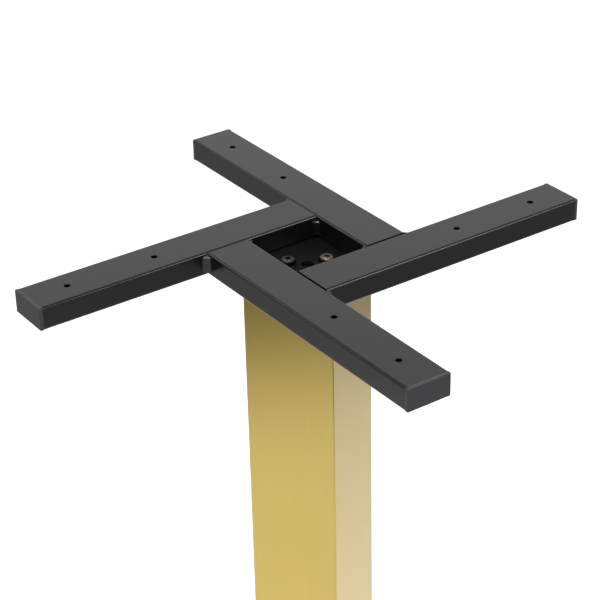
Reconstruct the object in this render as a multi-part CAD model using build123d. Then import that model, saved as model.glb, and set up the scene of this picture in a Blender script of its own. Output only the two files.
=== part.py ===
from build123d import *
import os

# Pedestal base for a table, in millimetres. Z is up, the floor is at Z = 0, the column stands on the Z axis
# with its faces square to X and Y, and its front face looks along -Y.

# Whole base
HEIGHT = 720.0               # floor to the faces that carry the table top

# Spider arms: rectangular steel tube, set like the sails of a windmill round a square well
ARM_WIDTH = 40.0
ARM_HEIGHT = 20.0
ARM_WALL = 1.5
ARM_CORNER = 2.0             # outside corner radius of the tube
ARM_INSIDE_CORNER = 0.5
ARM_LENGTH = 259.0           # tube alone, without its end cap
WELL_SIDE = 69.0             # clear width between facing arms
JOINT_GAP = 0.8              # inner end of each arm to the side of the arm before it
FIRST_ARM_ANGLE = 60.0       # how far the first arm is turned from +X
ARM_NAMES = ("back_right", "back_left", "front_left", "front_right")
QUARTER_TURN = 90.0

# Screw holes for the table top, through both walls of each arm
HOLE_DIAMETER = 5.5
HOLE_FROM_END = 33.0         # outer hole to the end of the tube
HOLE_PITCH = 80.0
HOLES_PER_ARM = 2

# End caps: moulded plastic, pushed into the tubes
CAP_HEAD = 3.0
CAP_CORNER = 1.2
CAP_EDGE = 0.8               # rounding round the outer face
CAP_PLUG = 14.0              # how far the plug reaches into the tube
CAP_SHELL = 1.5
CAP_RIB = 0.9                # how far the ribs stand out from the plug
CAP_RIB_THICKNESS = 1.2
CAP_RIBS = 3
CAP_FIT = 0.1                # ribs to the tube's inside, on each side

# Welds
CORNER_BEAD_LEG = 5.0
PLATE_BEAD_LEG = 4.0
PLATE_BEAD_LENGTH = 56.0
BEAD_CROWN = 0.57            # middle of a bead's face, in legs from each wall (0.5 is flat)
BEAD_END = 0.8               # rounding at a bead's ends

# Spider plate under the arms, which closes the well
PLATE_SIDE = 100.0
PLATE_THICKNESS = 5.0
PLATE_CORNER = 3.0
CENTRE_HOLE_DIAMETER = 11.0
SPIDER_SCREW_SPREAD = 32.0   # centre to centre
SPIDER_SCREW_ANGLE = 30.0    # line of the two screws, from +X

# M8 socket screws, button head above and countersunk below
THREAD_DIAMETER = 8.0
THREAD_FIT = 0.05            # thread to tapped hole, on each side
SCREW_HOLE_FIT = 0.5         # thread to clearance hole, on each side
BUTTON_DIAMETER = 14.0
BUTTON_HEIGHT = 4.4
BUTTON_FLAT_DIAMETER = 7.6   # flat on top of the dome
BUTTON_CROWN = 3.3           # height of the dome midway between the flat and the rim
SOCKET_ACROSS_FLATS = 5.0
SOCKET_DEPTH = 2.6
SPIDER_SCREW_LENGTH = 16.0   # under the head
WASHER_DIAMETER = 12.7       # split spring washer under each button head
WASHER_THICKNESS = 2.5
WASHER_FIT = 0.2             # thread to washer, on each side
WASHER_SPLIT = 1.0
WASHER_SLANT = 20.0          # lean of the split, in degrees
SCREW_POINT = 1.0            # chamfer at the thread's end
COUNTERSUNK_DIAMETER = 16.0
COUNTERSUNK_FIT = 0.2        # cone of the head to its seat, on each side
COUNTERSUNK_SINK = 0.3       # head below the surface
FOOT_SCREW_LENGTH = 16.0     # over all
FOOT_SCREW_PITCH = 50.0      # side of the square of four

# Column: brushed stainless sheet, folded square on grooves, so its inside corners are sharp
COLUMN_SIDE = 80.0
COLUMN_WALL = 1.5
COLUMN_CORNER = 1.2

# Steel plates welded into the ends of the column
COLUMN_PLATE_THICKNESS = 8.0
COLUMN_PLATE_CORNER = 3.0
COLUMN_PLATE_FIT = 0.1       # to the column's inside, on each side

# Foot: folded sheet cover over a ballast plate, on four pads
FOOT_SIDE = 400.0
FOOT_CORNER = 4.0
COVER_SHEET = 1.2
COVER_FOLD = 2.4             # outside radius of the folded rim
RIM_GAP = 3.0                # floor to rim
BALLAST_THICKNESS = 8.0
BALLAST_FIT = 0.5            # to the cover's rim, on each side
PAD_DIAMETER = 30.0
PAD_HEIGHT = 6.0
PAD_EDGE = 1.5
PAD_INSET = 32.0             # pad centre to the side of the foot
PAD_STEM_DIAMETER = 8.0
PAD_STEM_LENGTH = 6.0
PAD_STEM_FIT = 0.05          # stem to its hole, on each side

# Levels and places that follow from the sizes above
FOOT_TOP = PAD_HEIGHT + BALLAST_THICKNESS + COVER_SHEET
ARM_BOTTOM = HEIGHT - ARM_HEIGHT
COLUMN_TOP = ARM_BOTTOM - PLATE_THICKNESS
WELL_HALF = WELL_SIDE / 2
ARM_OFFSET = WELL_HALF + ARM_WIDTH / 2
ARM_START = JOINT_GAP - WELL_HALF
ARM_END = ARM_START + ARM_LENGTH
COLUMN_INSIDE = COLUMN_SIDE - 2 * COLUMN_WALL
TAPPED_RADIUS = THREAD_DIAMETER / 2 + THREAD_FIT
SCREW_HOLE_RADIUS = THREAD_DIAMETER / 2 + SCREW_HOLE_FIT


def along_arm(shape, number):
    """Turns a shape drawn for an arm along +X to the place of the arm with that number."""
    return Rot(0, 0, FIRST_ARM_ANGLE + QUARTER_TURN * number) * shape


def spider_screw_places():
    """Centres of the two spider screws in plan."""
    line = Rot(0, 0, SPIDER_SCREW_ANGLE)
    return [line * Pos(side * SPIDER_SCREW_SPREAD / 2, 0) for side in (-1, 1)]


def foot_screw_places():
    """Centres of the four foot screws in plan."""
    return list(GridLocations(FOOT_SCREW_PITCH, FOOT_SCREW_PITCH, 2, 2))


def pad_places():
    """Centres of the four floor pads in plan, with their names."""
    reach = FOOT_SIDE / 2 - PAD_INSET
    return {
        "front_left": Pos(-reach, -reach),
        "front_right": Pos(reach, -reach),
        "back_left": Pos(-reach, reach),
        "back_right": Pos(reach, reach),
    }


def upright_cylinder(radius, bottom, top):
    """Cylinder on the Z axis between two levels."""
    return Pos(0, 0, bottom) * extrude(Circle(radius), top - bottom)


def socket(depth):
    """Hexagon socket, open at Z = 0 and reaching down."""
    hexagon = RegularPolygon(SOCKET_ACROSS_FLATS / 2, 6, major_radius=False)
    return extrude(hexagon, -depth)


def arm_tube():
    """Arm along +X, with its inner end by the side of the arm before it."""
    outside = RectangleRounded(ARM_WIDTH, ARM_HEIGHT, ARM_CORNER)
    inside = RectangleRounded(ARM_WIDTH - 2 * ARM_WALL, ARM_HEIGHT - 2 * ARM_WALL, ARM_INSIDE_CORNER)
    tube = extrude(Plane.YZ * (outside - inside), ARM_LENGTH)
    for number in range(HOLES_PER_ARM):
        place = ARM_LENGTH - HOLE_FROM_END - number * HOLE_PITCH
        tube -= Pos(place, 0) * upright_cylinder(HOLE_DIAMETER / 2, -ARM_HEIGHT, ARM_HEIGHT)
    return Pos(ARM_START, -ARM_OFFSET, ARM_BOTTOM + ARM_HEIGHT / 2) * tube


def end_cap():
    """Cap in the outer end of the arm along +X: a head, and a hollow plug with ribs round it."""
    plug_width = ARM_WIDTH - 2 * (ARM_WALL + CAP_FIT + CAP_RIB)
    plug_height = ARM_HEIGHT - 2 * (ARM_WALL + CAP_FIT + CAP_RIB)
    head = extrude(Plane.YZ * RectangleRounded(ARM_WIDTH, ARM_HEIGHT, CAP_CORNER), CAP_HEAD)
    cap = fillet(head.faces().sort_by(Axis.X)[-1].edges(), CAP_EDGE)
    cap += extrude(Plane.YZ * Rectangle(plug_width, plug_height), -CAP_PLUG)
    rib = Plane.YZ * RectangleRounded(plug_width + 2 * CAP_RIB, plug_height + 2 * CAP_RIB, CAP_RIB)
    rib_pitch = CAP_PLUG / CAP_RIBS
    for number in range(CAP_RIBS):
        place = rib_pitch * number + rib_pitch / 2
        cap += Pos(-place, 0, 0) * extrude(rib, CAP_RIB_THICKNESS / 2, both=True)
    hollow = Plane.YZ * Rectangle(plug_width - 2 * CAP_SHELL, plug_height - 2 * CAP_SHELL)
    cap -= extrude(hollow, -CAP_PLUG)
    return Pos(ARM_END, -ARM_OFFSET, ARM_BOTTOM + ARM_HEIGHT / 2) * cap


def weld_bead(leg, length):
    """Bead along +Z, in the corner between a wall along +X and a wall along +Y."""
    crown = BEAD_CROWN * leg
    outline = [
        Line((0, 0), (leg, 0)),
        ThreePointArc((leg, 0), (crown, crown), (0, leg)),
        Line((0, leg), (0, 0)),
    ]
    bead = extrude(make_face(outline), length)
    ends = bead.edges().filter_by(GeomType.CIRCLE)
    return fillet(ends, BEAD_END)


def corner_welds():
    """The two upright beads at the inner end of the arm along +X: in the well, and outside it."""
    bead = weld_bead(CORNER_BEAD_LEG, ARM_HEIGHT - 2 * ARM_CORNER)
    level = ARM_BOTTOM + ARM_CORNER
    in_well = Pos(-WELL_HALF, -WELL_HALF, level) * bead
    outside = Pos(-WELL_HALF, -WELL_HALF - ARM_WIDTH, level) * Rot(0, 0, -QUARTER_TURN) * bead
    return [in_well, outside]


def plate_weld():
    """Bead along the edge of the spider plate, under the arm along +X."""
    bead = Rot(0, QUARTER_TURN, 0) * weld_bead(PLATE_BEAD_LEG, PLATE_BEAD_LENGTH)
    return Pos(-PLATE_BEAD_LENGTH / 2, -PLATE_SIDE / 2, ARM_BOTTOM) * mirror(bead, Plane.XZ)


def spider_plate():
    """Plate welded under the arms, with a middle hole and a clearance hole for each spider screw."""
    outline = Rot(0, 0, FIRST_ARM_ANGLE) * RectangleRounded(PLATE_SIDE, PLATE_SIDE, PLATE_CORNER)
    outline -= Circle(CENTRE_HOLE_DIAMETER / 2)
    for place in spider_screw_places():
        outline -= place * Circle(SCREW_HOLE_RADIUS)
    return Pos(0, 0, COLUMN_TOP) * extrude(outline, PLATE_THICKNESS)


def button_screw():
    """Button-head socket screw, with the underside of its head at Z = 0."""
    head_radius = BUTTON_DIAMETER / 2
    flat_radius = BUTTON_FLAT_DIAMETER / 2
    thread_radius = THREAD_DIAMETER / 2
    midway = (head_radius + flat_radius) / 2
    outline = [
        Line((0, 0), (head_radius, 0)),
        ThreePointArc((head_radius, 0), (midway, BUTTON_CROWN), (flat_radius, BUTTON_HEIGHT)),
        Line((flat_radius, BUTTON_HEIGHT), (0, BUTTON_HEIGHT)),
        Line((0, BUTTON_HEIGHT), (0, 0)),
    ]
    head = revolve(Plane.XZ * make_face(outline), Axis.Z)
    head -= Pos(0, 0, BUTTON_HEIGHT) * socket(SOCKET_DEPTH)
    thread = upright_cylinder(thread_radius, -SPIDER_SCREW_LENGTH, 0)
    thread = chamfer(thread.edges().sort_by(Axis.Z)[0], SCREW_POINT)
    return head + thread


def spring_washer():
    """Split spring washer, pressed flat, from Z = 0 up."""
    outline = Circle(WASHER_DIAMETER / 2) - Circle(THREAD_DIAMETER / 2 + WASHER_FIT)
    split = Rot(WASHER_SLANT, 0, 0) * Box(WASHER_DIAMETER, WASHER_SPLIT, 3 * WASHER_THICKNESS)
    return extrude(outline, WASHER_THICKNESS) - Pos(WASHER_DIAMETER / 2, 0, WASHER_THICKNESS / 2) * split


def countersunk_screw():
    """Countersunk socket screw, pointing up, with the flat of its head at Z = 0."""
    thread_radius = THREAD_DIAMETER / 2
    cone = COUNTERSUNK_DIAMETER / 2 - thread_radius
    outline = Polyline(
        (0, 0),
        (COUNTERSUNK_DIAMETER / 2, 0),
        (thread_radius, cone),
        (thread_radius, FOOT_SCREW_LENGTH - SCREW_POINT),
        (thread_radius - SCREW_POINT, FOOT_SCREW_LENGTH),
        (0, FOOT_SCREW_LENGTH),
        close=True,
    )
    screw = revolve(Plane.XZ * make_face(outline), Axis.Z)
    return screw - Rot(180, 0, 0) * socket(SOCKET_DEPTH)


def column():
    """Square column between the foot cover and the spider plate."""
    outside = RectangleRounded(COLUMN_SIDE, COLUMN_SIDE, COLUMN_CORNER)
    section = outside - Rectangle(COLUMN_INSIDE, COLUMN_INSIDE)
    return Pos(0, 0, FOOT_TOP) * extrude(section, COLUMN_TOP - FOOT_TOP)


def column_plate(holes):
    """Plate that fits inside the column, from Z = 0 up, with the given tapped holes."""
    side = COLUMN_INSIDE - 2 * COLUMN_PLATE_FIT
    corners = Rectangle(side, side)
    outline = chamfer(corners.vertices(), COLUMN_PLATE_CORNER)
    for place in holes:
        outline -= place * Circle(TAPPED_RADIUS)
    return extrude(outline, COLUMN_PLATE_THICKNESS)


def column_top_plate():
    """Plate flush with the top of the column, tapped for the spider screws, with a middle hole."""
    plate = column_plate(spider_screw_places())
    plate -= upright_cylinder(CENTRE_HOLE_DIAMETER / 2, 0, COLUMN_PLATE_THICKNESS)
    return Pos(0, 0, COLUMN_TOP - COLUMN_PLATE_THICKNESS) * plate


def column_foot_plate():
    """Plate flush with the bottom of the column, tapped for the foot screws."""
    return Pos(0, 0, FOOT_TOP) * column_plate(foot_screw_places())


def foot_cover():
    """Square pan folded from one sheet, with ground corners and a clearance hole for each screw."""
    inside_side = FOOT_SIDE - 2 * COVER_SHEET
    rim = FOOT_TOP - RIM_GAP
    pan = extrude(RectangleRounded(FOOT_SIDE, FOOT_SIDE, FOOT_CORNER), rim)
    pan = fillet(pan.faces().sort_by(Axis.Z)[-1].edges(), COVER_FOLD)
    hollow = extrude(RectangleRounded(inside_side, inside_side, FOOT_CORNER - COVER_SHEET), rim - COVER_SHEET)
    hollow = fillet(hollow.faces().sort_by(Axis.Z)[-1].edges(), COVER_FOLD - COVER_SHEET)
    pan -= hollow
    for place in foot_screw_places():
        pan -= place * upright_cylinder(SCREW_HOLE_RADIUS, 0, rim)
    return Pos(0, 0, RIM_GAP) * pan


def foot_ballast():
    """Steel plate under the cover, countersunk below for the screws and drilled for the pads."""
    side = FOOT_SIDE - 2 * (COVER_SHEET + BALLAST_FIT)
    plate = extrude(RectangleRounded(side, side, FOOT_CORNER - COVER_SHEET), BALLAST_THICKNESS)
    plate = chamfer(plate.faces().sort_by(Axis.Z)[-1].edges(), COVER_FOLD - COVER_SHEET)
    seat_radius = COUNTERSUNK_DIAMETER / 2 + COUNTERSUNK_FIT + COUNTERSUNK_SINK
    seat_depth = seat_radius - SCREW_HOLE_RADIUS
    seat = Pos(0, 0, seat_depth / 2) * Cone(seat_radius, SCREW_HOLE_RADIUS, seat_depth)
    hole = upright_cylinder(SCREW_HOLE_RADIUS, 0, BALLAST_THICKNESS)
    for place in foot_screw_places():
        plate -= place * (seat + hole)
    stem_hole = upright_cylinder(PAD_STEM_DIAMETER / 2 + PAD_STEM_FIT, 0, BALLAST_THICKNESS)
    for place in pad_places().values():
        plate -= place * stem_hole
    return Pos(0, 0, PAD_HEIGHT) * plate


def floor_pad():
    """Round pad on the Z axis, with a stem that presses into the ballast."""
    pad = upright_cylinder(PAD_DIAMETER / 2, 0, PAD_HEIGHT)
    pad = fillet(pad.edges().sort_by(Axis.Z)[0], PAD_EDGE)
    return pad + upright_cylinder(PAD_STEM_DIAMETER / 2, PAD_HEIGHT, PAD_HEIGHT + PAD_STEM_LENGTH)


def group(shapes):
    """Several separate solids that share one file."""
    return Compound(children=[solid for shape in shapes for solid in shape.solids()])


def all_pieces():
    """Every piece of the base by name, in its place."""
    pieces = {
        "foot_cover": foot_cover(),
        "foot_ballast": foot_ballast(),
        "column": column(),
        "column_foot_plate": column_foot_plate(),
        "column_top_plate": column_top_plate(),
        "spider_plate": spider_plate(),
    }
    for name, place in pad_places().items():
        pieces["floor_pad_" + name] = place * floor_pad()
    foot_screw = Pos(0, 0, PAD_HEIGHT + COUNTERSUNK_SINK) * countersunk_screw()
    pieces["foot_screws"] = group(place * foot_screw for place in foot_screw_places())
    washer = Pos(0, 0, ARM_BOTTOM) * spring_washer()
    pieces["spider_washers"] = group(place * washer for place in spider_screw_places())
    spider_screw = Pos(0, 0, ARM_BOTTOM + WASHER_THICKNESS) * button_screw()
    pieces["spider_screws"] = group(place * spider_screw for place in spider_screw_places())
    corner_beads = []
    plate_beads = []
    for number, name in enumerate(ARM_NAMES):
        pieces["arm_" + name] = along_arm(arm_tube(), number)
        pieces["end_cap_" + name] = along_arm(end_cap(), number)
        corner_beads += [along_arm(bead, number) for bead in corner_welds()]
        plate_beads.append(along_arm(plate_weld(), number))
    pieces["spider_corner_welds"] = group(corner_beads)
    pieces["spider_plate_welds"] = group(plate_beads)
    return pieces


os.makedirs("parts", exist_ok=True)
for piece_name, piece in all_pieces().items():
    export_step(piece, "parts/" + piece_name + ".step")
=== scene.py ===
import math

import bmesh
import bpy
from mathutils import Matrix, Vector


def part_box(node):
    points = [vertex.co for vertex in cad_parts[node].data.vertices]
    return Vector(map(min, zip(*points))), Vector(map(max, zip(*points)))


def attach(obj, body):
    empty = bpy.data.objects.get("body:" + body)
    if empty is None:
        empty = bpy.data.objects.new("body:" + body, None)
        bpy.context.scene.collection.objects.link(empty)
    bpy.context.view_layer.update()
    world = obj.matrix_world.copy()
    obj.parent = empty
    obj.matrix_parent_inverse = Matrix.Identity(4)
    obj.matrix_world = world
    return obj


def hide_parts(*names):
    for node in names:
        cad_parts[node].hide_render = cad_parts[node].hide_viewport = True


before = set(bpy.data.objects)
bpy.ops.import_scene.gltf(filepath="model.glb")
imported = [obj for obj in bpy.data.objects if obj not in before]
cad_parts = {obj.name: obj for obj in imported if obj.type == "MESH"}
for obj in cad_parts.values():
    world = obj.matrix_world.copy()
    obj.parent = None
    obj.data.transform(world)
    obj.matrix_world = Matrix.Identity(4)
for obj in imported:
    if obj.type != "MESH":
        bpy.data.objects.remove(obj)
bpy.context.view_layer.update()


# Floor pads: four round glides of black nylon, injection moulded in a spark-eroded tool, each with a
# stem pressed up into the ballast plate. They keep the rim of the foot off the floor.
NYLON_COLOUR = "#1B1B1D"
NYLON_IOR = 1.53
NYLON_ROUGHNESS = (0.45, 0.62)
NYLON_GRAIN_MM = 0.35
NYLON_RELIEF = {"Strength": 0.35, "Distance": 0.00005}


def linear(code):
    """An sRGB hex colour as linear red, green and blue, with an alpha of 1."""
    parts = [int(code[place:place + 2], 16) / 255 for place in (1, 3, 5)]
    return [p / 12.92 if p <= 0.04045 else ((p + 0.055) / 1.055) ** 2.4 for p in parts] + [1.0]


def add_node(tree, kind, settings=None, links=None):
    """Adds a node. Settings are its fields, or its sockets by name or number; links lead to its sockets."""
    added = tree.nodes.new(kind)
    for name, value in (settings or {}).items():
        if isinstance(name, str) and hasattr(added, name):
            setattr(added, name, value)
        else:
            added.inputs[name].default_value = value
    for name, source in (links or {}).items():
        tree.links.new(source, added.inputs[name])
    return added


def start_material(name):
    """A new material that has no nodes yet, and its tree."""
    material = bpy.data.materials.new(name)
    material.use_nodes = True
    material.node_tree.nodes.clear()
    return material, material.node_tree


def per_metre(size_mm):
    """How often a detail of that size in millimetres repeats in a metre, which is a pattern's scale."""
    return 1000.0 / size_mm


def moulded_plastic(name, colour, ior, roughness, grain_mm, relief_depth):
    """Plastic out of an etched tool, which leaves a fine even grain, so it is dull with a soft sheen."""
    material, tree = start_material(name)
    place = add_node(tree, "ShaderNodeTexCoord").outputs["Object"]
    grain = add_node(
        tree,
        "ShaderNodeTexNoise",
        {"Scale": per_metre(grain_mm), "Detail": 3.0},
        {"Vector": place},
    )
    relief = add_node(tree, "ShaderNodeBump", relief_depth, {"Height": grain.outputs["Fac"]})
    smooth, rough = roughness
    gloss = add_node(
        tree,
        "ShaderNodeMapRange",
        {"To Min": smooth, "To Max": rough},
        {"Value": grain.outputs["Fac"]},
    )
    shader = add_node(
        tree,
        "ShaderNodeBsdfPrincipled",
        {"Base Color": linear(colour), "IOR": ior},
        {"Roughness": gloss.outputs["Result"], "Normal": relief.outputs["Normal"]},
    )
    add_node(tree, "ShaderNodeOutputMaterial", links={"Surface": shader.outputs["BSDF"]})
    return material


def finish_nodes(material, *names):
    """Gives the CAD nodes with those names a material in place of their plain one."""
    for name in names:
        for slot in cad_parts[name].material_slots:
            slot.material = material


# Black nylon: nearly dull, with a soft even grain.
moulded_nylon = moulded_plastic(
    "moulded_nylon", NYLON_COLOUR, NYLON_IOR, NYLON_ROUGHNESS, NYLON_GRAIN_MM, NYLON_RELIEF
)
finish_nodes(moulded_nylon, *[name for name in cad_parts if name.startswith("floor_pad_")])


# Ballast, end plates and foot screws: hot-rolled plate inside the foot and the column, and countersunk
# steel screws from below. All are hidden in use and left as they come from the mill.
MILL_COLOURS = ("#6F7174", "#8B8C8D")
MILL_ROUGHNESS = (0.58, 0.4)  # of the dark and of the pale patches
MILL_TONE_RANGE = (0.12, 0.4)  # what patches times streaks mostly come to
MILL_PATCH_MM = 18.0
MILL_PIT_MM = 1.2
MILL_RELIEF = {"Strength": 0.3, "Distance": 0.0001}
ROLLING_STREAK_MM = (60.0, 2.0)  # along and across the way it was rolled


def rolled_steel():
    """Mill-finish steel: grey in soft patches, with faint streaks along the way it was rolled."""
    material, tree = start_material("rolled_steel")
    place = add_node(tree, "ShaderNodeTexCoord").outputs["Object"]
    patches = add_node(
        tree,
        "ShaderNodeTexNoise",
        {"Scale": per_metre(MILL_PATCH_MM), "Detail": 4.0},
        {"Vector": place},
    )
    along, across = ROLLING_STREAK_MM
    stretch = add_node(
        tree,
        "ShaderNodeMapping",
        {"Scale": (per_metre(along), per_metre(across), per_metre(across))},
        {"Vector": place},
    )
    streaks = add_node(
        tree,
        "ShaderNodeTexNoise",
        {"Scale": 1.0, "Detail": 3.0},
        {"Vector": stretch.outputs["Vector"]},
    )
    mottle = add_node(
        tree,
        "ShaderNodeMath",
        {"operation": "MULTIPLY"},
        {0: patches.outputs["Fac"], 1: streaks.outputs["Fac"]},
    )
    lowest, highest = MILL_TONE_RANGE
    spread = add_node(
        tree,
        "ShaderNodeMapRange",
        {"From Min": lowest, "From Max": highest},
        {"Value": mottle.outputs["Value"]},
    )
    dark, pale = MILL_COLOURS
    tone = add_node(
        tree,
        "ShaderNodeMix",
        {"data_type": "RGBA", 6: linear(dark), 7: linear(pale)},
        {0: spread.outputs["Result"]},
    )
    pits = add_node(
        tree,
        "ShaderNodeTexNoise",
        {"Scale": per_metre(MILL_PIT_MM), "Detail": 4.0},
        {"Vector": place},
    )
    relief = add_node(tree, "ShaderNodeBump", MILL_RELIEF, {"Height": pits.outputs["Fac"]})
    rough, smooth = MILL_ROUGHNESS
    gloss = add_node(
        tree,
        "ShaderNodeMapRange",
        {"To Min": rough, "To Max": smooth},
        {"Value": spread.outputs["Result"]},
    )
    shader = add_node(
        tree,
        "ShaderNodeBsdfPrincipled",
        {"Metallic": 1.0},
        {
            "Base Color": tone.outputs[2],
            "Roughness": gloss.outputs["Result"],
            "Normal": relief.outputs["Normal"],
        },
    )
    add_node(tree, "ShaderNodeOutputMaterial", links={"Surface": shader.outputs["BSDF"]})
    return material


finish_nodes(rolled_steel(), "foot_ballast", "foot_screws", "column_foot_plate", "column_top_plate")


# Foot cover and column: stainless sheet, ground with a belt to a straight grain, then given a gold-toned
# coat in a vacuum chamber under a thin clear lacquer. The cover is folded to a pan, the column to a square.
GOLD_COLOURS = ("#D6BA5F", "#DDC166")
GOLD_ROUGHNESS = (0.2, 0.27)
GOLD_RELIEF = {"Strength": 0.08, "Distance": 0.00005}
GOLD_ANISOTROPY = 0.7
LACQUER = {"Coat Weight": 1.0, "Coat Roughness": 0.12, "Coat IOR": 1.5}
BRUSH_WIDTH_MM = 0.7  # the real belt marks are about 0.1 mm wide, too fine to show
BRUSH_LENGTH_MM = 90.0
# Square to the strokes, and slanted so that it points straight out of no face.
COVER_ACROSS = (0.0, 1.0, 0.2)
COLUMN_ACROSS = (1.0, 0.8, 0.0)


def brushed_gold(name, stroke_mm, across):
    """Gold-toned brushed steel: fine straight strokes, broad soft reflections drawn out across them.

    stroke_mm is the size of the marks along X, Y and Z, and across a direction square to them."""
    material, tree = start_material(name)
    place = add_node(tree, "ShaderNodeTexCoord").outputs["Object"]
    stretch = add_node(
        tree,
        "ShaderNodeMapping",
        {"Scale": [per_metre(size) for size in stroke_mm]},
        {"Vector": place},
    )
    strokes = add_node(
        tree,
        "ShaderNodeTexNoise",
        {"Scale": 1.0, "Detail": 5.0},
        {"Vector": stretch.outputs["Vector"]},
    )
    dark, pale = GOLD_COLOURS
    tone = add_node(
        tree,
        "ShaderNodeMix",
        {"data_type": "RGBA", 6: linear(dark), 7: linear(pale)},
        {0: strokes.outputs["Fac"]},
    )
    smooth, rough = GOLD_ROUGHNESS
    gloss = add_node(
        tree,
        "ShaderNodeMapRange",
        {"To Min": rough, "To Max": smooth},
        {"Value": strokes.outputs["Fac"]},
    )
    relief = add_node(tree, "ShaderNodeBump", GOLD_RELIEF, {"Height": strokes.outputs["Fac"]})
    tangent = add_node(tree, "ShaderNodeCombineXYZ", {"X": across[0], "Y": across[1], "Z": across[2]})
    shader = add_node(
        tree,
        "ShaderNodeBsdfPrincipled",
        {"Metallic": 1.0, "Anisotropic": GOLD_ANISOTROPY, **LACQUER},
        {
            "Base Color": tone.outputs[2],
            "Roughness": gloss.outputs["Result"],
            "Normal": relief.outputs["Normal"],
            "Tangent": tangent.outputs["Vector"],
        },
    )
    add_node(tree, "ShaderNodeOutputMaterial", links={"Surface": shader.outputs["BSDF"]})
    return material


cover_strokes = (BRUSH_LENGTH_MM, BRUSH_WIDTH_MM, BRUSH_WIDTH_MM)
finish_nodes(brushed_gold("brushed_gold_steel_foot", cover_strokes, COVER_ACROSS), "foot_cover")
column_strokes = (BRUSH_WIDTH_MM, BRUSH_WIDTH_MM, BRUSH_LENGTH_MM)
finish_nodes(brushed_gold("brushed_gold_steel_column", column_strokes, COLUMN_ACROSS), "column")


# Spider arms and plate: four rectangular steel tubes set like the sails of a windmill, welded to each
# other and to a square plate below, then sprayed with polyester powder and baked as one piece.
COAT_COLOUR = "#0D0D0E"
COAT_IOR = 1.68
COAT_ROUGHNESS = (0.22, 0.3)
COAT_SPECULAR = 0.5
COAT_PEEL_MM = 1.6  # the gentle waves that the melted powder sets in
COAT_PEEL_RELIEF = {"Strength": 0.03, "Distance": 0.0001}
COAT_GRIT_MM = 0.3
COAT_GRIT_RELIEF = {"Strength": 0.04, "Distance": 0.00003}
THIN_COAT_ROUGHNESS = (0.5, 0.6)
THIN_COAT_SPECULAR = 0.1


def black_powder_coat(name, colour, roughness, specular):
    """Black powder coat: nearly colourless reflections, softened by a fine peel and grit."""
    material, tree = start_material(name)
    place = add_node(tree, "ShaderNodeTexCoord").outputs["Object"]
    peel = add_node(
        tree,
        "ShaderNodeTexNoise",
        {"Scale": per_metre(COAT_PEEL_MM), "Detail": 1.0},
        {"Vector": place},
    )
    grit = add_node(
        tree,
        "ShaderNodeTexNoise",
        {"Scale": per_metre(COAT_GRIT_MM), "Detail": 2.0},
        {"Vector": place},
    )
    waves = add_node(tree, "ShaderNodeBump", COAT_PEEL_RELIEF, {"Height": peel.outputs["Fac"]})
    relief = add_node(
        tree,
        "ShaderNodeBump",
        COAT_GRIT_RELIEF,
        {"Height": grit.outputs["Fac"], "Normal": waves.outputs["Normal"]},
    )
    smooth, rough = roughness
    gloss = add_node(
        tree,
        "ShaderNodeMapRange",
        {"To Min": smooth, "To Max": rough},
        {"Value": grit.outputs["Fac"]},
    )
    shader = add_node(
        tree,
        "ShaderNodeBsdfPrincipled",
        {"Base Color": linear(colour), "IOR": COAT_IOR, "Specular IOR Level": specular},
        {"Roughness": gloss.outputs["Result"], "Normal": relief.outputs["Normal"]},
    )
    add_node(tree, "ShaderNodeOutputMaterial", links={"Surface": shader.outputs["BSDF"]})
    return material


satin_coat = black_powder_coat("black_powder_coat_satin", COAT_COLOUR, COAT_ROUGHNESS, COAT_SPECULAR)
arm_names = [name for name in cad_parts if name.startswith("arm_")]
finish_nodes(satin_coat, "spider_plate_welds", *arm_names)
# Little powder reaches down into the well, so the coat on the plate is thin and dull.
thin_coat = black_powder_coat("black_powder_coat_thin", COAT_COLOUR, THIN_COAT_ROUGHNESS, THIN_COAT_SPECULAR)
finish_nodes(thin_coat, "spider_plate")


# Corner welds: eight upright beads of steel weld, one on each side of the joint where the end of an arm
# meets the side of the next. Each is laid upwards in small overlapping pools and coated with the rest.
WELL_HALF_MM = 34.5
ARM_WIDTH_MM = 40.0
FIRST_ARM_DEGREES = 60.0
BEAD_LEG_MM = 5.0
BEAD_FULLNESS = 1.62  # above 1 the face is flatter than a quarter circle
BEAD_END_MM = 2.8  # how far the face rounds off at each end
BEAD_END_SHARE = 0.15  # what is left of the leg at the very end
BEAD_BOTTOM_MM = 2.0  # from the arms' underside
# How far each bead stops below the arms' tops, in the well and outside, arm by arm.
BEAD_TOPS_MM = ((2.0, 0.6), (0.6, 0.6), (3.0, 0.6), (1.0, 2.0))
BEAD_STEPS = 64
FACE_STEPS = 12
RIPPLE_PITCH_MM = 1.9
RIPPLE_DEPTH = 0.045  # in legs
RIPPLE_BOW_MM = 0.9  # how far a ripple sags in the middle of the face
WANDER_SHARE = 0.03  # how much the leg grows and shrinks along the bead
WANDER_PER_MM = 0.55  # in radians
PHASE_PER_ARM = 1.3  # so that no two beads are alike
PHASE_OUTSIDE = 0.7
WELL_COAT_SPECULAR = 0.25
# Painted light: the coat on the beads outside is painted paler than on the arms, for the light the beads
# catch.
BEAD_PAINTED_LIGHT_COLOUR = "#272728"
BEAD_COAT_ROUGHNESS = (0.46, 0.6)


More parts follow.
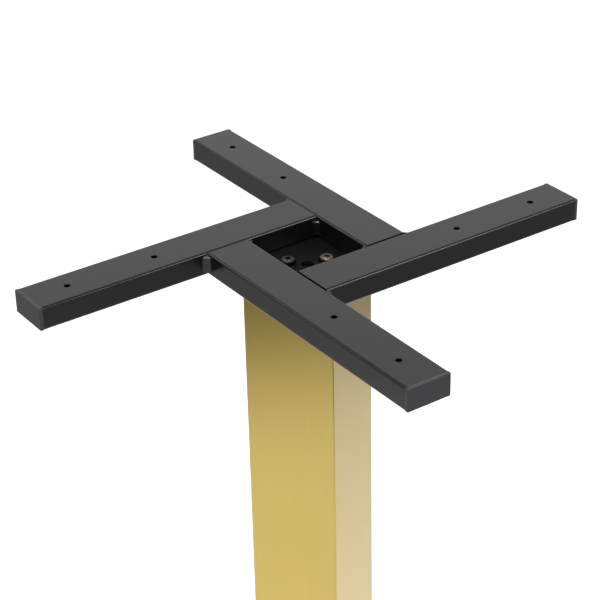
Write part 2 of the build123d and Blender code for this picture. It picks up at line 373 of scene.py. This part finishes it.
def add_bead(mesh, place, length, phase, finish):
    """Adds a bead to a mesh, in the corner between walls along the place's X and Y, up its Z."""
    rings = []
    for step in range(BEAD_STEPS + 1):
        height = length * step / BEAD_STEPS
        from_end = min(height, length - height)
        inside = min(from_end / BEAD_END_MM, 1.0)
        taper = BEAD_END_SHARE + (1.0 - BEAD_END_SHARE) * math.sqrt(1.0 - (1.0 - inside) ** 2)
        wander = 1.0 + WANDER_SHARE * math.sin(height * WANDER_PER_MM + phase)
        ring = [mesh.verts.new(place @ Vector((0.0, 0.0, height)))]
        for turn in range(FACE_STEPS + 1):
            angle = math.radians(90.0) * turn / FACE_STEPS
            middle = math.sin(2.0 * angle)
            ripple = abs(math.sin(math.pi * (height + RIPPLE_BOW_MM * middle) / RIPPLE_PITCH_MM + phase))
            reach = BEAD_LEG_MM * taper * wander * (1.0 - RIPPLE_DEPTH * (1.0 - ripple) * middle)
            along_x = reach * math.cos(angle) ** BEAD_FULLNESS if turn < FACE_STEPS else 0.0
            along_y = reach * math.sin(angle) ** BEAD_FULLNESS
            ring.append(mesh.verts.new(place @ Vector((along_x, along_y, height))))
        rings.append(ring)
    for below, above in zip(rings, rings[1:]):
        for corner in range(len(below)):
            following = (corner + 1) % len(below)
            face = mesh.faces.new((below[corner], below[following], above[following], above[corner]))
            face.material_index = finish
    for end in (rings[0][::-1], rings[-1]):
        mesh.faces.new(end).material_index = finish


arm_low, arm_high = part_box("arm_front_left")
bead_bottom = arm_low.z * 1000.0 + BEAD_BOTTOM_MM
full_length = (arm_high.z - arm_low.z) * 1000.0 - BEAD_BOTTOM_MM
to_metres = Matrix.Diagonal((0.001, 0.001, 0.001, 1.0))
beads = bmesh.new()
for arm in range(4):
    turned = to_metres @ Matrix.Rotation(math.radians(FIRST_ARM_DEGREES + 90.0 * arm), 4, "Z")
    in_well = turned @ Matrix.Translation((-WELL_HALF_MM, -WELL_HALF_MM, bead_bottom))
    outside = turned @ Matrix.Translation((-WELL_HALF_MM, -WELL_HALF_MM - ARM_WIDTH_MM, bead_bottom))
    outside = outside @ Matrix.Rotation(math.radians(-90.0), 4, "Z")
    well_top, outside_top = BEAD_TOPS_MM[arm]
    phase = PHASE_PER_ARM * arm
    add_bead(beads, in_well, full_length - well_top, phase, 0)
    add_bead(beads, outside, full_length - outside_top, phase + PHASE_OUTSIDE, 1)
bead_mesh = bpy.data.meshes.new("corner_weld_beads")
bmesh.ops.recalc_face_normals(beads, faces=beads.faces)
beads.to_mesh(bead_mesh)
beads.free()
bead_mesh.shade_smooth()
# The first coat is on the beads in the well; the second, rougher and painted paler than the arms' coat as
# painted light, is on those outside.
bead_mesh.materials.append(
    black_powder_coat("black_powder_coat_in_well", COAT_COLOUR, COAT_ROUGHNESS, WELL_COAT_SPECULAR)
)
bead_mesh.materials.append(
    black_powder_coat("black_powder_coat_on_weld", BEAD_PAINTED_LIGHT_COLOUR, BEAD_COAT_ROUGHNESS, COAT_SPECULAR)
)
corner_welds = bpy.data.objects.new("corner_weld_beads", bead_mesh)
bpy.context.scene.collection.objects.link(corner_welds)
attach(corner_welds, "root")
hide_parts("spider_corner_welds")


# End caps: black polyethylene, injection moulded, with a ribbed plug that is pushed into the open end of
# each arm. The head has a fine etched face, a little paler than the coated tube.
CAP_COLOUR = "#49494C"
CAP_IOR = 1.51
CAP_ROUGHNESS = (0.38, 0.52)
CAP_GRAIN_MM = 0.5
CAP_RELIEF = {"Strength": 0.2, "Distance": 0.00005}

# Black polyethylene: a soft waxy sheen over the fine grain.
moulded_polyethylene = moulded_plastic(
    "moulded_polyethylene", CAP_COLOUR, CAP_IOR, CAP_ROUGHNESS, CAP_GRAIN_MM, CAP_RELIEF
)
finish_nodes(moulded_polyethylene, *[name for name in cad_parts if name.startswith("end_cap_")])


# Spider screws: two M8 button-head socket screws of zinc-plated steel, passivated yellow, which hold the
# spider plate to the plate in the top of the column.
ZINC_COLOURS = ("#5F5149", "#706158")
ZINC_CLOUD_MM = 3.0
ZINC_CLOUD_RANGE = (0.35, 0.65)
ZINC_PAINTED_LIGHT_COLOUR = "#A4998D"
ZINC_PAINTED_LIGHT_SHARE = 0.5  # painted light: the right-hand screw is painted paler than the other, for the brighter light on it
ZINC_PAINTED_LIGHT_FROM_M = (-0.001, 0.001)  # in X, in the gap between the two screws
ZINC_PAINTED_SHADE_COLOUR = "#0F0C0A"
ZINC_PAINTED_SHADE_MM = (1.7, 0.7)  # below the top of the heads: where the painted shade on the flank is darkest, and where it starts
ZINC_ROUGHNESS = (0.6, 0.7)
ZINC_CRYSTAL_MM = 0.25
ZINC_RELIEF = {"Strength": 0.2, "Distance": 0.00003}


def yellow_zinc():
    """Yellow passivated zinc: a dull warm metal tone in soft clouds, with painted shade down the flank and
    painted light on the right-hand screw.
    """
    material, tree = start_material("yellow_zinc_plating")
    place = add_node(tree, "ShaderNodeTexCoord").outputs["Object"]
    cloud = add_node(
        tree,
        "ShaderNodeTexNoise",
        {"Scale": per_metre(ZINC_CLOUD_MM), "Detail": 3.0},
        {"Vector": place},
    )
    lowest, highest = ZINC_CLOUD_RANGE
    spread = add_node(
        tree,
        "ShaderNodeMapRange",
        {"From Min": lowest, "From Max": highest},
        {"Value": cloud.outputs["Fac"]},
    )
    brown, straw = ZINC_COLOURS
    tone = add_node(
        tree,
        "ShaderNodeMix",
        {"data_type": "RGBA", 6: linear(brown), 7: linear(straw)},
        {0: spread.outputs["Result"]},
    )
    # Painted light: the right-hand screw is painted paler than the left one, for the brighter light on it.
    spot = add_node(tree, "ShaderNodeSeparateXYZ", links={"Vector": place})
    left, right = ZINC_PAINTED_LIGHT_FROM_M
    painted_light_share = add_node(
        tree,
        "ShaderNodeMapRange",
        {"From Min": left, "From Max": right, "To Max": ZINC_PAINTED_LIGHT_SHARE},
        {"Value": spot.outputs["X"]},
    )
    with_painted_light = add_node(
        tree,
        "ShaderNodeMix",
        {"data_type": "RGBA", 7: linear(ZINC_PAINTED_LIGHT_COLOUR)},
        {0: painted_light_share.outputs["Result"], 6: tone.outputs[2]},
    )
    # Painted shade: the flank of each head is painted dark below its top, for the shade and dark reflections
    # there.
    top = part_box("spider_screws")[1].z
    low, high = [top - drop / 1000.0 for drop in ZINC_PAINTED_SHADE_MM]
    unshaded_share = add_node(
        tree,
        "ShaderNodeMapRange",
        {"From Min": low, "From Max": high},
        {"Value": spot.outputs["Z"]},
    )
    with_painted_shade = add_node(
        tree,
        "ShaderNodeMix",
        {"data_type": "RGBA", 6: linear(ZINC_PAINTED_SHADE_COLOUR)},
        {0: unshaded_share.outputs["Result"], 7: with_painted_light.outputs[2]},
    )
    crystals = add_node(
        tree,
        "ShaderNodeTexNoise",
        {"Scale": per_metre(ZINC_CRYSTAL_MM), "Detail": 2.0},
        {"Vector": place},
    )
    relief = add_node(tree, "ShaderNodeBump", ZINC_RELIEF, {"Height": crystals.outputs["Fac"]})
    smooth, rough = ZINC_ROUGHNESS
    gloss = add_node(
        tree,
        "ShaderNodeMapRange",
        {"To Min": smooth, "To Max": rough},
        {"Value": crystals.outputs["Fac"]},
    )
    shader = add_node(
        tree,
        "ShaderNodeBsdfPrincipled",
        {"Metallic": 1.0},
        {
            "Base Color": with_painted_shade.outputs[2],
            "Roughness": gloss.outputs["Result"],
            "Normal": relief.outputs["Normal"],
        },
    )
    add_node(tree, "ShaderNodeOutputMaterial", links={"Surface": shader.outputs["BSDF"]})
    return material


finish_nodes(yellow_zinc(), "spider_screws")


# Spring washers: two split rings of flat spring steel under the heads of the spider screws, hardened and
# then blackened in a phosphate bath.
PHOSPHATE_COLOURS = ("#1E1D1C", "#33312F")
PHOSPHATE_IOR = 1.5
PHOSPHATE_ROUGHNESS = 0.6
PHOSPHATE_CRYSTAL_MM = 0.2
PHOSPHATE_RELIEF = {"Strength": 0.3, "Distance": 0.00003}


def phosphated_steel():
    """Blackened spring steel: a dry dark grey of fine crystals, with little shine."""
    material, tree = start_material("phosphated_spring_steel")
    place = add_node(tree, "ShaderNodeTexCoord").outputs["Object"]
    crystals = add_node(
        tree,
        "ShaderNodeTexNoise",
        {"Scale": per_metre(PHOSPHATE_CRYSTAL_MM), "Detail": 3.0},
        {"Vector": place},
    )
    dark, pale = PHOSPHATE_COLOURS
    tone = add_node(
        tree,
        "ShaderNodeMix",
        {"data_type": "RGBA", 6: linear(dark), 7: linear(pale)},
        {0: crystals.outputs["Fac"]},
    )
    relief = add_node(tree, "ShaderNodeBump", PHOSPHATE_RELIEF, {"Height": crystals.outputs["Fac"]})
    shader = add_node(
        tree,
        "ShaderNodeBsdfPrincipled",
        {"Roughness": PHOSPHATE_ROUGHNESS, "IOR": PHOSPHATE_IOR},
        {"Base Color": tone.outputs[2], "Normal": relief.outputs["Normal"]},
    )
    add_node(tree, "ShaderNodeOutputMaterial", links={"Surface": shader.outputs["BSDF"]})
    return material


finish_nodes(phosphated_steel(), "spider_washers")


# Studio floor: one plain sheet of pale paper, wide enough to fill the view, lit and shadowed as paper is.
# A glow makes it white to the eye, least round the foot, where the lamps add the rest and the shadow shows.
# Reflections alone show a painted pool of light round the foot and a painted paler sheet to either side.
PAPER_COLOUR = "#D0D0D0"
PAPER_ROUGHNESS = 0.9
WHITE = "#FFFFFF"
FLOOR_HALF_WIDTH = 15.0
SEEN_GLOW = (0.64, 0.94)  # round the foot, and far off
SHADOW_REACH = (0.3, 0.75)  # metres from the middle of the foot, where the one turns into the other
POOL_GLOW = (0.71, 0.34)  # at the pool's front and at its back
POOL_FRONT_TO_BACK = (-0.7, 0.7)
POOL_REACH = (0.9, 1.36)  # where the pool starts to fade, and its edge
POOL_STRETCH = (1.2, 1.0, 1.0)  # above 1 the pool is narrower that way
SHEET_GLOW = (0.08, 0.3)  # along a line a little right of the foot, and well to either side of it
SHEET_REACH = (0.75, 1.65)
ALONG_X = (1.0, 0.0, 0.0)
TO_SHEET_LINE = (-0.25, 0.0, 0.0)  # brings that line to X = 0


def studio_paper():
    """Matt pale paper, with a glow that is added only where it is looked at or mirrored."""
    material, tree = start_material("studio_paper")
    place = add_node(tree, "ShaderNodeTexCoord").outputs["Object"]
    path = add_node(tree, "ShaderNodeLightPath")
    seen = add_node(
        tree,
        "ShaderNodeMath",
        {"operation": "MAXIMUM"},
        {0: path.outputs["Is Camera Ray"], 1: path.outputs["Is Transmission Ray"]},
    )
    from_foot = add_node(tree, "ShaderNodeVectorMath", {"operation": "LENGTH"}, {0: place})
    paper_white = add_node(
        tree,
        "ShaderNodeMapRange",
        {
            "interpolation_type": "SMOOTHSTEP",
            "From Min": SHADOW_REACH[0],
            "From Max": SHADOW_REACH[1],
            "To Min": SEEN_GLOW[0],
            "To Max": SEEN_GLOW[1],
        },
        {"Value": from_foot.outputs["Value"]},
    )
    seen_glow = add_node(
        tree,
        "ShaderNodeMath",
        {"operation": "MULTIPLY"},
        {0: seen.outputs["Value"], 1: paper_white.outputs["Result"]},
    )
    # Painted reflection: a glow seen only in reflections, a pool round the foot and a paler sheet to either
    # side.
    aside = add_node(
        tree,
        "ShaderNodeVectorMath",
        {"operation": "MULTIPLY_ADD", 1: ALONG_X, 2: TO_SHEET_LINE},
        {0: place},
    )
    far_aside = add_node(tree, "ShaderNodeVectorMath", {"operation": "LENGTH"}, {0: aside.outputs["Vector"]})
    sheet_glow = add_node(
        tree,
        "ShaderNodeMapRange",
        {
            "From Min": SHEET_REACH[0],
            "From Max": SHEET_REACH[1],
            "To Min": SHEET_GLOW[0],
            "To Max": SHEET_GLOW[1],
        },
        {"Value": far_aside.outputs["Value"]},
    )
    spot = add_node(tree, "ShaderNodeSeparateXYZ", links={"Vector": place})
    pool_glow = add_node(
        tree,
        "ShaderNodeMapRange",
        {
            "From Min": POOL_FRONT_TO_BACK[0],
            "From Max": POOL_FRONT_TO_BACK[1],
            "To Min": POOL_GLOW[0],
            "To Max": POOL_GLOW[1],
        },
        {"Value": spot.outputs["Y"]},
    )
    in_pool = add_node(tree, "ShaderNodeVectorMath", {"operation": "MULTIPLY", 1: POOL_STRETCH}, {0: place})
    away = add_node(tree, "ShaderNodeVectorMath", {"operation": "LENGTH"}, {0: in_pool.outputs["Vector"]})
    pool_share = add_node(
        tree,
        "ShaderNodeMapRange",
        {
            "interpolation_type": "SMOOTHSTEP",
            "From Min": POOL_REACH[0],
            "From Max": POOL_REACH[1],
            "To Min": 1.0,
            "To Max": 0.0,
        },
        {"Value": away.outputs["Value"]},
    )
    mirrored_glow = add_node(
        tree,
        "ShaderNodeMath",
        {"operation": "MULTIPLY_ADD"},
        {0: pool_share.outputs["Result"], 1: pool_glow.outputs["Result"], 2: sheet_glow.outputs["Result"]},
    )
    glow = add_node(
        tree,
        "ShaderNodeMath",
        {"operation": "MULTIPLY_ADD"},
        {0: path.outputs["Is Glossy Ray"], 1: mirrored_glow.outputs["Value"], 2: seen_glow.outputs["Value"]},
    )
    shader = add_node(
        tree,
        "ShaderNodeBsdfPrincipled",
        {
            "Base Color": linear(PAPER_COLOUR),
            "Roughness": PAPER_ROUGHNESS,
            "Specular IOR Level": 0.0,
            "Emission Color": linear(WHITE),
        },
        {"Emission Strength": glow.outputs["Value"]},
    )
    add_node(tree, "ShaderNodeOutputMaterial", links={"Surface": shader.outputs["BSDF"]})
    return material


floor_mesh = bpy.data.meshes.new("studio_floor")
sheet = bmesh.new()
bmesh.ops.create_grid(sheet, x_segments=1, y_segments=1, size=FLOOR_HALF_WIDTH)
sheet.to_mesh(floor_mesh)
sheet.free()
floor_mesh.materials.append(studio_paper())
floor = bpy.data.objects.new("studio_floor", floor_mesh)
bpy.context.scene.collection.objects.link(floor)


# Studio light: a large key box high in front, behind a fine honeycomb that keeps its light on the base,
# an edge box on the right and a faint fill box on the left. The room is dim, white only to the eye, with
# a white sweep behind the base that reflections show.
BASE_TOP = Vector((0.0, 0.0, 0.62))
ABOVE_BASE = Vector((0.0, 0.0, 0.82))
LIGHT_DISTANCE = 2.2
FINE_HONEYCOMB_DEGREES = 27.0
COARSE_HONEYCOMB_DEGREES = 60.0
ROOM_LEVEL = 0.104
ROOM_SHINE = 0.278  # what reflections show of the room, and of the sweep
SWEEP_SHINE = 0.8
SWEEP_TOP_DEGREES = (29.0, 43.0)  # where the sweep starts to fade upwards, and its top
SWEEP_DIRECTION = (-0.43, 0.903, 0.0)
SWEEP_SIDE = (0.1, 0.6)  # cosines from that direction: the sweep's sides, and where it is full


def add_soft_box(name, aim, azimuth, elevation, width, height, watts, spread):
    """A soft box that looks at a point. Azimuth 0 is in front of the base and 90 on its right."""
    lamp = bpy.data.lights.new(name, "AREA")
    lamp.shape = "RECTANGLE"
    lamp.size = width
    lamp.size_y = height
    lamp.energy = watts
    lamp.spread = math.radians(spread)
    turn, rise = math.radians(azimuth), math.radians(elevation)
    out = Vector((math.sin(turn) * math.cos(rise), -math.cos(turn) * math.cos(rise), math.sin(rise)))
    holder = bpy.data.objects.new(name, lamp)
    holder.location = aim + out * LIGHT_DISTANCE
    holder.rotation_euler = out.to_track_quat("Z", "Y").to_euler()
    bpy.context.scene.collection.objects.link(holder)


add_soft_box(
    "key_soft_box",
    aim=ABOVE_BASE,
    azimuth=14.0,
    elevation=54.0,
    width=1.4,
    height=1.3,
    watts=5.0,
    spread=FINE_HONEYCOMB_DEGREES,
)
add_soft_box(
    "edge_soft_box",
    aim=BASE_TOP,
    azimuth=96.0,
    elevation=30.0,
    width=0.7,
    height=0.7,
    watts=1.0,
    spread=COARSE_HONEYCOMB_DEGREES,
)
add_soft_box(
    "fill_soft_box",
    aim=BASE_TOP,
    azimuth=-86.0,
    elevation=30.0,
    width=0.4,
    height=0.4,
    watts=0.12,
    spread=COARSE_HONEYCOMB_DEGREES,
)

studio = bpy.data.worlds.new("white_studio")
bpy.context.scene.world = studio
studio.use_nodes = True
room = studio.node_tree
room.nodes.clear()
direction = add_node(room, "ShaderNodeTexCoord").outputs["Generated"]
upward = add_node(room, "ShaderNodeSeparateXYZ", links={"Vector": direction})
sweep_fade, sweep_top = [math.sin(math.radians(angle)) for angle in SWEEP_TOP_DEGREES]
height_share = add_node(
    room,
    "ShaderNodeMapRange",
    {
        "interpolation_type": "SMOOTHSTEP",
        "From Min": sweep_fade,
        "From Max": sweep_top,
        "To Min": 1.0,
        "To Max": 0.0,
    },
    {"Value": upward.outputs["Z"]},
)
behind = add_node(
    room,
    "ShaderNodeVectorMath",
    {"operation": "DOT_PRODUCT", 1: SWEEP_DIRECTION},
    {0: direction},
)
side_share = add_node(
    room,
    "ShaderNodeMapRange",
    {"interpolation_type": "SMOOTHSTEP", "From Min": SWEEP_SIDE[0], "From Max": SWEEP_SIDE[1]},
    {"Value": behind.outputs["Value"]},
)
sweep = add_node(
    room,
    "ShaderNodeMath",
    {"operation": "MULTIPLY"},
    {0: height_share.outputs["Result"], 1: side_share.outputs["Result"]},
)
shine = add_node(
    room,
    "ShaderNodeMapRange",
    {"To Min": ROOM_SHINE, "To Max": SWEEP_SHINE},
    {"Value": sweep.outputs["Value"]},
)
path = add_node(room, "ShaderNodeLightPath")
mirrored = add_node(
    room,
    "ShaderNodeMath",
    {"operation": "MULTIPLY"},
    {0: path.outputs["Is Glossy Ray"], 1: shine.outputs["Result"]},
)
seen = add_node(
    room,
    "ShaderNodeMath",
    {"operation": "MAXIMUM"},
    {0: path.outputs["Is Camera Ray"], 1: path.outputs["Is Transmission Ray"]},
)
shown = add_node(
    room,
    "ShaderNodeMath",
    {"operation": "MAXIMUM"},
    {0: seen.outputs["Value"], 1: mirrored.outputs["Value"]},
)
level = add_node(room, "ShaderNodeMath", {"operation": "MAXIMUM", 1: ROOM_LEVEL}, {0: shown.outputs["Value"]})
walls = add_node(
    room,
    "ShaderNodeBackground",
    {"Color": linear(WHITE)},
    {"Strength": level.outputs["Value"]},
)
add_node(room, "ShaderNodeOutputWorld", links={"Surface": walls.outputs["Background"]})
bpy.context.scene.view_settings.view_transform = "Standard"


# Camera: a long lens, above and to the right of the front, a little tilted, as the photograph was taken.
# Its place and turn were fitted to the edges of the arms and the column.
CAMERA_PLACE = (0.59149, -1.25845, 1.44279)
CAMERA_TURN = 25.452
CAMERA_DOWN = 29.175
CAMERA_TILT = -1.337
CAMERA_LENS_MM = 115.41
CAMERA_SENSOR_MM = 36.0
CAMERA_SIGHT = 100.0

camera_data = bpy.data.cameras.new("photograph_camera")
camera_data.sensor_width = CAMERA_SENSOR_MM
camera_data.lens = CAMERA_LENS_MM
camera_data.clip_end = CAMERA_SIGHT
camera = bpy.data.objects.new("photograph_camera", camera_data)
camera.matrix_world = (
    Matrix.Translation(CAMERA_PLACE)
    @ Matrix.Rotation(math.radians(CAMERA_TURN), 4, "Z")
    @ Matrix.Rotation(math.radians(90.0 - CAMERA_DOWN), 4, "X")
    @ Matrix.Rotation(math.radians(CAMERA_TILT), 4, "Z")
)
bpy.context.scene.collection.objects.link(camera)
bpy.context.scene.camera = camera
